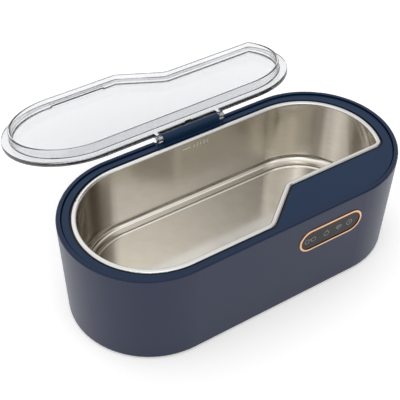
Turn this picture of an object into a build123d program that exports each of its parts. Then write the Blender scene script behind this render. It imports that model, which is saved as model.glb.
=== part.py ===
from build123d import *
import math
import os

# Ultrasonic jewelry cleaner: a slot-shaped housing with a dogleg steel tank and a clear lid
# that lies open behind it. Millimetres, X along the body, -Y the panel side, +Z up,
# origin under the middle of the body on the plane of its feet.

# Housing
body_length = 205.0
body_width = 96.8
shell_height = 61.9
foot_height = 2.0
wall_lean = 1.65
shell_wall = 2.4
lip_width = 2.5
lip_round = 0.9
ledge_width = 3.0
ledge_thickness = 2.0

# Deck that fills the top of the housing round the tank
deck_drop = 0.9
deck_depth = 4.2
deck_thickness = 2.0
deck_skirt = 2.0
deck_gap = 0.45
deck_round = 0.4

# Tank, pressed from sheet: rim outline measured in from the housing's sides
rim_from_left = 7.6
rim_from_right = 9.6
rim_from_back = 7.1
rim_from_front = 5.6
step_from_front = 26.5
knee_x = -3.0
slant_run = 25.5
knee_round = 7.0
elbow_round = 4.0
tip_round = 6.5
rim_width = 3.0
rim_thickness = 1.5
rim_drop = 0.6
rim_round = 1.1
sheet = 0.8
room_under_tank = 15.7
tank_bend = 3.4
tank_ledge = 4.6
pan_depth = 2.4
pan_corner = 4.0
pan_bend = 1.4

# Seal under the rim
seal_thickness = 1.0
rim_gap = 1.0
seal_gap = 0.2
seat_overlap = 1.8

# Lid
lid_overhang = 0.8
lid_shift = 1.0
lid_thickness = 2.7
lid_plate = 1.2
lid_rest_gap = 0.15
lid_round = 0.6
skirt_inset = 5.1
skirt_wall = 1.4
skirt_depth = 5.1
skirt_tip_round = 0.45
skirt_foot_round = 0.7
dish_round = 0.8
open_angle = 193.7
grip_x = -30.5
grip_length = 38.0
grip_width = 4.4
grip_depth = 1.3
grip_from_edge = 3.3
grip_round = 0.4
gate_from_middle = 1.3
gate_width = 4.2
gate_depth = 0.8

# Hinge
hinge_from_back = 2.3
hinge_rise = 2.0
barrel_radius = 2.3
barrel_length = 37.6
knuckle_width = 3.4
knuckle_gap = 0.2
knuckle_round = 0.8
barrel_round = 0.4
pin_radius = 0.9
running_gap = 0.05
fixed_gap = 0.02
pin_recess = 0.3
saddle_depth = 1.5
saddle_gap = 1.0
stop_length = 22.0
stop_thickness = 1.9
stop_reach = 4.3
stop_gap = 0.09

# Touch panel on the front
panel_from_end = 1.3
panel_from_lip = 18.4
panel_length = 42.6
panel_height = 15.8
ring_stroke = 1.4
ring_proud = 0.5
ring_flange = 0.9
ring_flange_thickness = 1.2
ring_inner_flange = 0.9
ring_gap = 0.1
lens_gap = 0.08
lens_thickness = 2.5
pad_length = 4.0
pad_thickness = 1.6
touch_board_thickness = 1.2
key_count = 4
key_pitch = 8.4
key_radius = 2.6
key_wire = 0.4
led_size = 1.6
panel_screw_radius = 0.8
panel_screw_head_radius = 1.6
panel_screw_head_height = 1.0

# Base cover and feet
cover_thickness = 2.6
cover_gap = 0.3
cover_recess = 0.3
rib_height = 2.2
rib_thickness = 1.6
rib_length = 96.0
rib_y = 14.0
rib_x = -36.0
vent_count = 7
vent_pitch = 6.0
vent_width = 2.4
vent_length = 15.0
vent_x = -62.0
foot_radius = 7.0
foot_sink = 1.0
foot_round = 0.5
foot_x = 66.0
foot_y = 27.0

# Screws that close the base
boss_radius = 3.0
boss_height = 14.0
boss_margin = 0.8
boss_web = 2.0
pilot_radius = 1.1
pilot_depth = 11.0
screw_radius = 1.05
screw_length = 9.0
screw_head_radius = 2.4
screw_head_height = 1.2
screw_clearance = 0.35
drive_width = 0.7
drive_depth = 0.6
left_boss_angles = (150.0, 205.0)
right_boss_angles = (30.0, -60.0)
back_boss_x = -24.0
front_boss_x = 4.0

# Transducer under the tank
transducer_x = -12.0
coupling_radius = 21.0
coupling_thickness = 3.4
piezo_radius = 19.0
piezo_thickness = 2.6
electrode_wrap = 5.0
electrode_thickness = 0.3
electrode_margin = 1.0
electrode_split = 1.0

# Main board beside the dogleg
board_from_end = 8.6
board_from_step = 1.2
board_length = 42.0
board_width = 19.0
board_thickness = 1.6
board_rise = 4.1
board_corner = 2.0
standoff_radius = 2.5
standoff_inset = 2.5
board_screw_radius = 0.9
board_screw_head = 1.9
board_screw_head_height = 1.2
board_screw_length = 5.0
board_screw_end_gap = 1.0

# Pieces on the main board, each placed from the board's centre
core_length = 15.0
core_width = 5.0
core_height = 13.0
core_leg = 3.0
winding_width = 11.0
winding_round = 1.0
transformer_x = 3.0
transformer_y = -4.0
capacitor_radius = 4.5
capacitor_height = 17.0
capacitor_round = 0.8
capacitor_x = -11.0
capacitor_y = -5.0
fuse_radius = 1.8
fuse_length = 9.0
fuse_cap = 1.6
fuse_x = -9.5
fuse_y = 1.3
sink_x = 14.6
sink_y = 0.0
sink_width = 11.0
sink_height = 20.0
sink_base = 1.6
sink_fin = 0.9
sink_fin_count = 3
sink_fin_pitch = 3.0
sink_fin_reach = 3.4
transistor_width = 9.6
transistor_height = 14.0
transistor_thickness = 2.2
transistor_rise = 3.0
lead_width = 0.8
lead_pitch = 2.0
plug_height = 6.6
plug_depth = 5.4
plug_from_edge = 1.0
mains_plug_x = -5.5
mains_plug_width = 8.0
drive_plug_x = -13.2
drive_plug_width = 5.4
panel_plug_x = 3.5
panel_plug_width = 6.6

# Power inlet in the back wall
inlet_from_end = 4.6
inlet_z = 11.3
inlet_width = 20.0
inlet_height = 10.0
inlet_reach = 17.0
inlet_corner = 1.0
inlet_flange_width = 23.0
inlet_flange_height = 12.4
inlet_flange_thickness = 1.4
inlet_flange_round = 2.5
inlet_gap = 0.15
socket_lobe = 4.1
socket_waist = 3.1
socket_depth = 13.0
contact_pitch = 8.6
contact_radius = 1.2
contact_length = 10.0
contact_tail = 4.0
contact_round = 0.5

# Wires
wire_radius = 0.9
mains_exit_run = 12.0
mains_entry_run = 14.0
mains_bend = 12.0
drive_wire_radius = 0.7
drive_from_edge = 2.0
drive_spread = 3.0
drive_exit_run = 16.0
drive_entry_run = 12.0
drive_bend = 6.0
ribbon_width = 5.6
ribbon_thickness = 0.8
ribbon_drop = 14.0
ribbon_rise = 10.0
ribbon_bend = 4.0

# Levels and outlines that follow from the sizes above
end_radius = body_width / 2
end_centre = body_length / 2 - end_radius
bottom_z = foot_height
lip_z = foot_height + shell_height
deck_z = lip_z - deck_drop
seat_z = deck_z - deck_depth
rim_z = lip_z - rim_drop
tank_depth = shell_height - rim_drop - room_under_tank
seal_z = rim_z - rim_thickness - seal_thickness
floor_z = rim_z - tank_depth
tank_ledge_z = floor_z + pan_depth
tank_under_z = floor_z - sheet
cover_z = bottom_z + cover_recess
cover_top_z = cover_z + cover_thickness
board_z = cover_top_z + board_rise
board_top_z = board_z + board_thickness
lean_slope = wall_lean / shell_height
hinge_y = end_radius - hinge_from_back
hinge_z = lip_z + hinge_rise
lid_z = rim_z + lid_rest_gap
knuckle_x = barrel_length / 2 + knuckle_gap + knuckle_width / 2
rim_left = -body_length / 2 + rim_from_left
rim_right = body_length / 2 - rim_from_right
rim_back = end_radius - rim_from_back
rim_front = -end_radius + rim_from_front
step_y = -end_radius + step_from_front
panel_x = end_centre - panel_from_end - panel_length / 2
panel_z = lip_z - panel_from_lip
inlet_x = end_centre - inlet_from_end - inlet_flange_width / 2
board_x = end_centre - board_from_end
board_y = step_y - board_from_step + sheet - board_width / 2
transducer_y = (rim_back + rim_front) / 2
cover_radius = end_radius - wall_lean - shell_wall - cover_gap


def wall_radius(z):
    """Radius of the housing's outer ends at height z, where the wall leans in downwards."""
    return end_radius - (lip_z - z) * lean_slope


def slot(radius):
    """Slot-shaped face with the housing's two end centres."""
    return SlotCenterToCenter(2 * end_centre, 2 * radius)


def prism(face, low, high):
    """Upright solid on a face, between two heights."""
    return extrude(Pos(0, 0, low) * face, high - low)


def leaning_slot(inset, low, high):
    """Solid that follows the housing's leaning wall, drawn in by inset."""
    sections = [Pos(0, 0, z) * slot(wall_radius(z) - inset) for z in (low, high)]
    return loft(sections, ruled=True)


def upright(radius, low, high, x, y):
    """Upright cylinder between two heights at x, y."""
    return prism(Pos(x, y) * Circle(radius), low, high)


def block(x_range, y_range, z_range):
    """Box between three pairs of limits."""
    spans = [limits[1] - limits[0] for limits in (x_range, y_range, z_range)]
    middle = [sum(limits) / 2 for limits in (x_range, y_range, z_range)]
    return Pos(*middle) * Box(*spans)


def rim_outline(inset, least=0.6, shift=0.0):
    """Face inside the tank's dogleg outline, drawn in by inset (out where it is negative).

    least is the smallest radius left on the two outward corners.
    """
    left, right = rim_left + inset, rim_right - inset
    back, front = rim_back - inset, rim_front + inset
    step = step_y + inset
    height = back - front
    rise = step_y - rim_front
    slant = math.hypot(slant_run, rise)
    slant_x = knee_x - inset * rise / slant
    slant_y = rim_front + inset * slant_run / slant
    knee = (slant_x + (front - slant_y) * slant_run / rise, front)
    elbow = (slant_x + (step - slant_y) * slant_run / rise, step)
    beyond = body_width
    corner = [knee, elbow, (right + beyond, step), (right + beyond, front - beyond),
              (knee[0], front - beyond)]
    outline = Pos((left + right) / 2, (back + front) / 2) * SlotOverall(right - left, height)
    outline -= Polygon(*corner, align=None)
    reach = math.sqrt((height / 2) ** 2 - (step - (back + front) / 2) ** 2)
    tip = (right - height / 2 + reach, step)
    outline = round_corner(outline, knee, max(knee_round - inset, least))
    outline = round_corner(outline, elbow, elbow_round + inset)
    outline = round_corner(outline, tip, max(tip_round - inset, least))
    return Pos(shift, 0) * outline


def round_corner(face, point, radius):
    """Fillet the face's corner that lies at point."""
    vertex = face.vertices().sort_by_distance((point[0], point[1], 0))[0]
    return fillet(vertex, radius)


def edges_at(shape, z):
    """Edges of a shape that lie wholly in the level plane at z."""
    return shape.edges().filter_by_position(Axis.Z, z - 0.001, z + 0.001)


def boss_places():
    """Centres of the columns that take the base screws, against the housing's inner wall."""
    reach = cover_radius - boss_margin - screw_clearance - screw_head_radius
    ends = [(-end_centre, a) for a in left_boss_angles] + [(end_centre, a) for a in right_boss_angles]
    places = [(x + reach * math.cos(math.radians(a)), reach * math.sin(math.radians(a)))
              for x, a in ends]
    return places + [(back_boss_x, reach), (front_boss_x, -reach)]


def panel_frame():
    """Plane of the front wall at the panel's centre, facing out of the housing."""
    lean = math.atan(lean_slope)
    centre = (panel_x, -wall_radius(panel_z), panel_z)
    return Plane(origin=centre, x_dir=(1, 0, 0), z_dir=(0, -math.cos(lean), -math.sin(lean)))


def panel_slab(margin, back, front):
    """Slot-shaped slab on the panel plane, margin larger than the ring's outline all round."""
    face = SlotOverall(panel_length + 2 * margin, panel_height + 2 * margin)
    return panel_frame() * extrude(Pos(0, 0, back) * face, front - back)


def key_places():
    """Offsets of the touch keys along the panel."""
    return [(i - (key_count - 1) / 2) * key_pitch for i in range(key_count)]


def make_housing():
    """Outer shell: leaning wall, lip, inner ledge, screw columns and cut-outs."""
    shell = leaning_slot(0, bottom_z, lip_z)
    shell = fillet(edges_at(shell, lip_z), lip_round)
    under_ledge = seat_z - ledge_thickness
    shell -= leaning_slot(shell_wall, bottom_z, under_ledge)
    shell -= prism(slot(end_radius - lip_width - ledge_width), under_ledge, seat_z)
    shell -= prism(slot(end_radius - lip_width), seat_z, lip_z)
    boss_top_z = cover_top_z + boss_height
    keep = leaning_slot(shell_wall / 2, cover_top_z, boss_top_z)
    web_run = end_radius / 2
    for x, y in boss_places():
        from_centre = max(abs(x) - end_centre, 0) * math.copysign(1, x)
        turn = math.degrees(math.atan2(y, from_centre))
        web = Pos(x, y) * Rot(0, 0, turn) * Pos(web_run / 2, 0) * Rectangle(web_run, boss_web)
        column = prism(Pos(x, y) * Circle(boss_radius) + web, cover_top_z, boss_top_z)
        shell += column & keep
        shell -= upright(pilot_radius, cover_top_z, cover_top_z + pilot_depth, x, y)
    saddle = knuckle_x + knuckle_width / 2 + saddle_gap
    shell -= block((lid_shift - saddle, lid_shift + saddle), (end_radius - 2 * lip_width, end_radius + 1),
                   (lip_z - saddle_depth, lip_z + 1))
    shell -= panel_slab(ring_gap, -2 * shell_wall, shell_wall)
    shell -= block((inlet_x - inlet_width / 2 - inlet_gap, inlet_x + inlet_width / 2 + inlet_gap),
                   (end_radius - 3 * shell_wall, end_radius + 1),
                   (inlet_z - inlet_height / 2 - inlet_gap, inlet_z + inlet_height / 2 + inlet_gap))
    return shell


def make_deck():
    """Top trim: deck with a recess for the tank's rim, hinge barrel and the lid's stop."""
    outer = end_radius - lip_width - deck_gap
    deck = prism(slot(outer), seat_z, deck_z)
    deck = fillet(edges_at(deck, deck_z), deck_round)
    deck -= prism(rim_outline(seat_overlap), seat_z - 1, deck_z + 1)
    deck -= prism(rim_outline(-rim_gap), seal_z, deck_z + 1)
    hollow = slot(outer - deck_skirt) - rim_outline(-rim_gap - deck_skirt)
    for pocket in hollow.faces():
        deck -= prism(pocket, seat_z - 1, deck_z - deck_thickness)
    half = barrel_length / 2
    span = (lid_shift - half, lid_shift + half)
    saddle_z = lip_z - saddle_depth
    rear = hinge_y + barrel_radius
    deck += block((span[0] + barrel_round, span[1] - barrel_round), (hinge_y - barrel_radius, rear),
                  (saddle_z, hinge_z))
    barrel = extrude(Plane.YZ * Circle(barrel_radius), barrel_length)
    barrel = fillet(barrel.edges().filter_by(GeomType.CIRCLE), barrel_round)
    deck += Pos(span[0], hinge_y, hinge_z) * barrel
    stop_z = stop_level()
    deck += block((lid_shift - stop_length / 2, lid_shift + stop_length / 2),
                  (hinge_y, hinge_y + stop_reach), (stop_z - stop_thickness, stop_z))
    bore = Plane.YZ * Circle(pin_radius + fixed_gap)
    deck -= Pos(span[0] - 1, hinge_y, hinge_z) * extrude(bore, barrel_length + 2)
    return deck


def stop_level():
    """Height of the stop under the open lid's flange, at the stop's outer edge."""
    fold = math.radians(open_angle - 180)
    near = hinge_y - (rim_back + lid_overhang)
    over = lid_z + lid_thickness - hinge_z
    edge_y = near * math.cos(fold) - over * math.sin(fold)
    edge_z = -near * math.sin(fold) - over * math.cos(fold)
    return hinge_z + edge_z - (stop_reach - edge_y) * math.tan(fold) - stop_gap


def tank_space(grow, top):
    """The tank's inside as a solid, swollen by grow on every wall and floor."""
    upper = prism(rim_outline(rim_width - grow), tank_ledge_z - grow, top)
    upper = fillet(edges_at(upper, tank_ledge_z - grow), tank_bend + grow)
    inset = rim_width + tank_ledge
    pan = prism(rim_outline(inset - grow, least=pan_corner + grow), floor_z - grow, tank_ledge_z + tank_bend)
    pan = fillet(edges_at(pan, floor_z - grow), pan_bend + grow)
    return upper + pan


def make_tank():
    """Drawn steel tank with a dogleg wall, a ledge round its floor and a rounded rim."""
    neck = rim_z - rim_thickness
    rim = prism(rim_outline(0) - rim_outline(rim_width), neck, rim_z)
    rim = fillet(edges_at(rim, rim_z), rim_round)
    wall = tank_space(sheet, neck) - tank_space(0, neck)
    return wall + rim


def make_seal():
    """Seal ring that the rim is bedded on."""
    ring = rim_outline(-rim_gap + seal_gap) - rim_outline(seat_overlap)
    return prism(ring, seal_z, seal_z + seal_thickness)


def swing(shape):
    """Turn a closed lid about the hinge line to where it rests open."""
    line = Axis((0, hinge_y, hinge_z), (1, 0, 0))
    return shape.rotate(line, -open_angle)


def make_lid():
    """Clear lid, built closed and swung open.

    It has a flange, a skirt, a thin plate, a grip recess, a gate notch and two knuckles.
    """
    top = lid_z + lid_thickness
    outline = rim_outline(-lid_overhang, shift=lid_shift)
    lid = prism(outline, lid_z, top)
    lid = fillet(edges_at(lid, top) + edges_at(lid, lid_z), lid_round)
    skirt = rim_outline(skirt_inset - lid_overhang, shift=lid_shift)
    tip_z = lid_z - skirt_depth
    lid += prism(skirt, tip_z, lid_z)
    walls = lid.faces().filter_by(lambda face: face.bounding_box().min.Z < tip_z + lid_round)
    foot = ShapeList(edge for wall in walls for edge in edges_at(wall, lid_z))
    lid = fillet(foot, skirt_foot_round)
    inside = rim_outline(skirt_inset - lid_overhang + skirt_wall, shift=lid_shift)
    lid -= prism(inside, tip_z, top - lid_plate)
    lid = fillet(edges_at(lid, top - lid_plate), dish_round)
    lid = fillet(edges_at(lid, tip_z), min(skirt_tip_round, skirt_wall / 3))
    grip_y = rim_front - lid_overhang + grip_from_edge
    grip = Pos(grip_x, grip_y) * SlotOverall(grip_length, grip_width)
    lid -= prism(grip, top - grip_depth, top)
    lid = fillet(edges_at(lid, top - grip_depth), grip_round)
    mouth = edges_at(lid, top).filter_by(lambda edge: abs(edge.center().Y - grip_y) <= grip_width / 2
                                         and abs(edge.center().X - grip_x) <= grip_length / 2)
    land = grip_from_edge - grip_width / 2 - lid_round
    lid = fillet(mouth, min(grip_round, land / 2))
    gate_x = lid_shift + gate_from_middle
    back_edge = rim_back + lid_overhang
    lid -= block((gate_x - gate_width / 2, gate_x + gate_width / 2), (back_edge - gate_depth, hinge_y),
                 (lid_z - lid_thickness, top + lid_thickness))
    for side in (-1, 1):
        low = lid_shift + side * knuckle_x - knuckle_width / 2
        arm = block((low + knuckle_round / 2, low + knuckle_width - knuckle_round / 2),
                    (rim_back - 1, hinge_y), (lid_z, top))
        knuckle = extrude(Plane.YZ * Circle(barrel_radius), knuckle_width)
        knuckle = Pos(low, hinge_y, hinge_z) * fillet(knuckle.edges().filter_by(GeomType.CIRCLE),
                                                      knuckle_round)
        bore = extrude(Plane.YZ * Circle(pin_radius + running_gap), knuckle_width + 2)
        lid += arm + knuckle
        lid -= Pos(low - 1, hinge_y, hinge_z) * bore
    return swing(lid)


def make_hinge_pin():
    """Steel rod through the barrel and both knuckles."""
    length = 2 * (knuckle_x + knuckle_width / 2 - pin_recess)
    rod = extrude(Plane.YZ * Circle(pin_radius), length)
    return Pos(lid_shift - length / 2, hinge_y, hinge_z) * rod


def make_panel_ring():
    """Metal bezel: visible ring, flange behind the wall and two pads for the touch board."""
    back = -shell_wall - ring_flange_thickness
    ring = panel_slab(0, -shell_wall, ring_proud)
    ring = fillet(ring.edges().group_by(Axis.Y)[0], ring_stroke / 4)
    ring += panel_slab(ring_flange, back, -shell_wall)
    ring -= panel_slab(-ring_stroke, -shell_wall, 2 * ring_proud)
    ring -= panel_slab(-ring_stroke - ring_inner_flange, 2 * back, 0)
    reach = panel_length / 2 - ring_stroke / 2
    for side in (-1, 1):
        pad = Pos(side * (reach - pad_length / 2), 0, back - pad_thickness / 2)
        piece = pad * Box(pad_length, panel_height / 2, pad_thickness)
        hole = pad * Cylinder(panel_screw_radius, 2 * pad_thickness)
        ring += panel_frame() * piece
        ring -= panel_frame() * hole
    return ring


def make_panel_lens():
    """Dark touch window inside the ring."""
    return panel_slab(-ring_stroke - lens_gap, -shell_wall, -shell_wall + lens_thickness)


def touch_board_front():
    """Level of the touch board's front face on the panel plane."""
    return -shell_wall - ring_flange_thickness - pad_thickness


def make_touch_board():
    """Small circuit board behind the window."""
    front = touch_board_front()
    length = panel_length - ring_stroke
    face = RectangleRounded(length, panel_height - 2 * ring_stroke, 2 * ring_stroke)
    board = extrude(Pos(0, 0, front - touch_board_thickness) * face, touch_board_thickness)
    for side in (-1, 1):
        x = side * (panel_length / 2 - ring_stroke / 2 - pad_length / 2)
        board -= Pos(x, 0, front) * Cylinder(panel_screw_radius + ring_gap, 4 * touch_board_thickness)
    return panel_frame() * board


def make_panel_screws():
    """Two small screws that hold the touch board to the ring's pads."""
    back = touch_board_front() - touch_board_thickness
    screws = []
    for side in (-1, 1):
        x = side * (panel_length / 2 - ring_stroke / 2 - pad_length / 2)
        head = Pos(x, 0, back - panel_screw_head_height / 2) * Cylinder(panel_screw_head_radius,
                                                                        panel_screw_head_height)
        shank_length = touch_board_thickness + pad_thickness
        shank = Pos(x, 0, back + shank_length / 2) * Cylinder(panel_screw_radius - fixed_gap, shank_length)
        screws.append(panel_frame() * (head + shank))
    return Compound(children=screws)


def make_touch_springs():
    """Sensing springs between the touch board and the window, one for each key."""
    low = touch_board_front()
    high = -shell_wall
    springs = []
    for x in key_places():
        coil = Circle(key_radius) - Circle(key_radius - key_wire)
        springs.append(panel_frame() * extrude(Pos(x, 0, low) * coil, high - low))
    return Compound(children=springs)


def make_panel_lights():
    """Light emitters on the touch board, one inside each sensing spring."""
    low = touch_board_front()
    lights = []
    for x in key_places():
        light = Pos(x, 0, low + led_size / 2) * Box(led_size, led_size, led_size)
        lights.append(panel_frame() * light)
    return Compound(children=lights)


def standoff_places():
    """Centres of the four main board screws."""
    dx = board_length / 2 - standoff_inset
    dy = board_width / 2 - standoff_inset
    return [(board_x + sx * dx, board_y + sy * dy) for sx in (-1, 1) for sy in (-1, 1)]


def foot_places():
    """Centres of the four feet."""
    return [(sx * foot_x, sy * foot_y) for sx in (-1, 1) for sy in (-1, 1)]


def make_base_cover():
    """Bottom cover: plate with screw holes, foot recesses, vents, ribs and board standoffs."""
    cover = prism(slot(cover_radius), cover_z, cover_top_z)
    for x, y in boss_places():
        cover -= upright(screw_radius + screw_clearance, cover_z - 1, cover_top_z + 1, x, y)
        cover -= upright(screw_head_radius + screw_clearance, cover_z - 1, cover_z + screw_head_height, x, y)
    for x, y in foot_places():
        cover -= upright(foot_radius + cover_gap, cover_z - 1, cover_z + foot_sink, x, y)
    for i in range(vent_count):
        x = vent_x + i * vent_pitch
        cover -= prism(Pos(x, 0) * SlotOverall(vent_length, vent_width, rotation=90), cover_z - 1,
                       cover_top_z + 1)
    for side in (-1, 1):
        cover += block((rib_x - rib_length / 2, rib_x + rib_length / 2),
                       (side * rib_y - rib_thickness / 2, side * rib_y + rib_thickness / 2),
                       (cover_top_z, cover_top_z + rib_height))
    for x, y in standoff_places():
        cover += upright(standoff_radius, cover_top_z, board_z, x, y)
        cover -= upright(board_screw_radius, board_z - board_screw_length, board_z, x, y)
    return cover


def make_feet():
    """Four rubber feet in the cover's recesses."""
    feet = []
    for x, y in foot_places():
        foot = upright(foot_radius, 0, cover_z + foot_sink, x, y)
        feet.append(fillet(edges_at(foot, 0), foot_round))
    return Compound(children=feet)


def screw(head_radius, head_height, radius, length):
    """Pan-head screw on its own axis, head downwards below z = 0, with a cross in the head."""
    head = Pos(0, 0, -head_height / 2) * Cylinder(head_radius, head_height)
    head = fillet(edges_at(head, -head_height), head_height / 4)
    cross = Box(head_radius, drive_width, 2 * drive_depth) + Box(drive_width, head_radius, 2 * drive_depth)
    head -= Pos(0, 0, -head_height) * cross
    return head + Pos(0, 0, length / 2) * Cylinder(radius, length)


def make_base_screws():
    """Screws through the base cover into the housing's columns."""
    height = screw_head_height - cover_gap
    base_screw = screw(screw_head_radius, height, screw_radius, screw_length)
    places = boss_places()
    return Compound(children=[Pos(x, y, cover_z + screw_head_height) * base_screw for x, y in places])


def make_coupling_disc():
    """Metal disc bonded under the tank floor."""
    return upright(coupling_radius, tank_under_z - coupling_thickness, tank_under_z, transducer_x,
                   transducer_y)


def piezo_levels():
    """Lower and upper face of the piezo disc."""
    high = tank_under_z - coupling_thickness
    return high - piezo_thickness, high


def make_piezo_disc():
    """Ceramic disc that drives the tank floor."""
    low, high = piezo_levels()
    return upright(piezo_radius, low, high, transducer_x, transducer_y)


def make_electrodes():
    """Silvered lower face of the piezo disc, in two separate fields."""
    low = piezo_levels()[0]
    ring = Circle(piezo_radius - electrode_margin)
    split = Pos(piezo_radius - electrode_wrap, 0) * Rectangle(electrode_split, 2 * piezo_radius)
    fields = [prism(Pos(transducer_x, transducer_y) * face, low - electrode_thickness, low)
              for face in (ring - split).faces()]
    return Compound(children=fields)


def on_board(x, y, z=0.0):
    """Location on the main board's top face, measured from its centre."""
    return Pos(board_x + x, board_y + y, board_top_z + z)


def make_main_board():
    """Driver circuit board on the cover's standoffs."""
    board = prism(Pos(board_x, board_y) * RectangleRounded(board_length, board_width, board_corner),
                  board_z, board_top_z)
    for x, y in standoff_places():
        board -= upright(board_screw_radius + 2 * ring_gap, board_z - 1, board_top_z + 1, x, y)
    return board


def make_board_screws():
    """Four screws that hold the main board."""
    length = board_screw_length + board_thickness - board_screw_end_gap
    board_screw = Rot(180, 0, 0) * screw(board_screw_head, board_screw_head_height,
                                        board_screw_radius - fixed_gap, length)
    return Compound(children=[Pos(x, y, board_top_z) * board_screw for x, y in standoff_places()])


def core_window():
    """Width of each window of the core and how far its middle is from the core's."""
    width = (core_length - 3 * core_leg) / 2
    return width, (core_leg + width) / 2


def make_transformer_core():
    """Ferrite core with two windows."""
    core = Box(core_length, core_width, core_height)
    width, middle = core_window()
    for side in (-1, 1):
        core -= Pos(side * middle, 0, 0) * Box(width, 2 * core_width, core_height - 2 * core_leg)
    return on_board(transformer_x, transformer_y, core_height / 2) * core


def make_transformer_winding():
    """Coil on the middle leg of the core."""
    width, middle = core_window()
    height = core_height - 2 * core_leg - 2 * ring_gap
    coil = Box(2 * (middle + width / 2 - ring_gap), winding_width, height)
    coil = fillet(coil.edges().filter_by(Axis.Z), winding_round)
    coil -= Box(core_leg, core_width, 2 * height)
    return on_board(transformer_x, transformer_y, core_height / 2) * coil


def make_capacitor():
    """Upright smoothing capacitor."""
    can = Pos(0, 0, capacitor_height / 2) * Cylinder(capacitor_radius, capacitor_height)
    can = fillet(edges_at(can, capacitor_height), capacitor_round)
    return on_board(capacitor_x, capacitor_y) * can


def make_fuse():
    """Axial fuse lying on the board between two end caps."""
    tube = Rot(0, 90, 0) * Cylinder(fuse_radius - 2 * ring_gap, fuse_length)
    for side in (-1, 1):
        end = Pos(side * (fuse_length - fuse_cap) / 2, 0, 0)
        tube += end * Rot(0, 90, 0) * Cylinder(fuse_radius, fuse_cap)
        tube += end * Pos(0, 0, -fuse_radius / 2) * Box(fuse_cap / 2, lead_width, fuse_radius)
    return on_board(fuse_x, fuse_y, fuse_radius) * tube


def make_heat_sink():
    """Finned plate that cools the power transistor."""
    plate = block((0, sink_base), (-sink_width / 2, sink_width / 2), (0, sink_height))
    for i in range(sink_fin_count):
        y = (i - (sink_fin_count - 1) / 2) * sink_fin_pitch
        plate += block((sink_base, sink_base + sink_fin_reach), (y - sink_fin / 2, y + sink_fin / 2),
                       (0, sink_height))
    return on_board(sink_x, sink_y) * plate


def make_transistor():
    """Power transistor against the heat sink, on three leads."""
    high = transistor_rise + transistor_height
    body = block((-transistor_thickness, 0), (-transistor_width / 2, transistor_width / 2),
                 (transistor_rise, high))
    middle = -transistor_thickness / 2
    half = lead_width / 2
    for i in (-1, 0, 1):
        y = i * lead_pitch
        body += block((middle - half, middle + half), (y - half, y + half), (0, transistor_rise))
    return on_board(sink_x, sink_y) * body


def plug_face_y():
    """Distance of the connectors' rear faces from the board's centre."""
    return board_width / 2 - plug_from_edge


def make_connectors():
    """Three plug-in connectors along the board's rear edge."""
    rear = plug_face_y()
    places = ((mains_plug_x, mains_plug_width), (drive_plug_x, drive_plug_width),
              (panel_plug_x, panel_plug_width))
    plugs = []
    for x, width in places:
        body = block((x - width / 2, x + width / 2), (rear - plug_depth, rear), (0, plug_height))
        plugs.append(on_board(0, 0) * body)
    return Compound(children=plugs)


def inlet_wall_y():
    """Where the housing's back wall stands at the inlet's height."""
    return wall_radius(inlet_z)


def socket_face():
    """Figure-of-eight mouth of the inlet, in its own plane."""
    lobes = [Pos(side * contact_pitch / 2, 0) * Circle(socket_lobe) for side in (-1, 1)]
    return lobes[0] + lobes[1] + Rectangle(contact_pitch, 2 * socket_waist)


def inlet_plane(y):
    """Plane facing backwards at y, centred on the inlet."""
    return Plane(origin=(inlet_x, y, inlet_z), x_dir=(-1, 0, 0), z_dir=(0, 1, 0))


def make_inlet():
    """Two-pole power inlet: body through the wall, outer flange and figure-of-eight socket."""
    face = inlet_wall_y()
    front = face - inlet_reach
    outer = face + lean_slope * inlet_flange_height
    section = RectangleRounded(inlet_width, inlet_height, inlet_corner)
    body = inlet_plane(front) * extrude(section, outer - front)
    flange = RectangleRounded(inlet_flange_width, inlet_flange_height, inlet_flange_round)
    body += inlet_plane(outer) * extrude(flange, inlet_flange_thickness)
    mouth = outer + inlet_flange_thickness
    body -= inlet_plane(mouth - socket_depth) * extrude(socket_face(), socket_depth + 1)
    hole = Circle(contact_radius)
    for side in (-1, 1):
        body -= inlet_plane(front - 1) * extrude(Pos(side * contact_pitch / 2, 0) * hole, inlet_reach)
    return body


def contact_span():
    """Rear and front ends of the inlet's contact pins along Y."""
    mouth = inlet_wall_y() + lean_slope * inlet_flange_height + inlet_flange_thickness
    return inlet_wall_y() - inlet_reach - contact_tail, mouth - socket_depth + contact_length


def make_inlet_contacts():
    """Two contact pins, each running through the inlet body to a tail inside."""
    low, high = contact_span()
    pins = []
    for side in (-1, 1):
        face = Pos(side * contact_pitch / 2, 0) * Circle(contact_radius - fixed_gap)
        pin = inlet_plane(low) * extrude(face, high - low)
        pins.append(fillet(pin.edges().group_by(Axis.Y)[-1], contact_round))
    return Compound(children=pins)


def wire(points, radius, bends):
    """Round wire along straight runs joined by arcs."""
    path = FilletPolyline(*points, radius=bends)
    profile = Plane(origin=path @ 0, z_dir=path % 0) * Circle(radius)
    return sweep(profile, path=path)


def make_mains_wires():
    """Two wires from the inlet's tails, under the tank, to the mains connector."""
    start_y = contact_span()[0]
    end_y = board_y + plug_face_y()
    end_z = board_top_z + plug_height / 2
    wires = []
    for side in (-1, 1):
        x = inlet_x + side * contact_pitch / 2
        end_x = board_x + mains_plug_x + side * mains_plug_width / 4
        points = [(x, start_y, inlet_z), (x, start_y - mains_exit_run, inlet_z),
                  (end_x, end_y + mains_entry_run, end_z), (end_x, end_y, end_z)]
        wires.append(wire(points, wire_radius, mains_bend))
    return Compound(children=wires)


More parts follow.
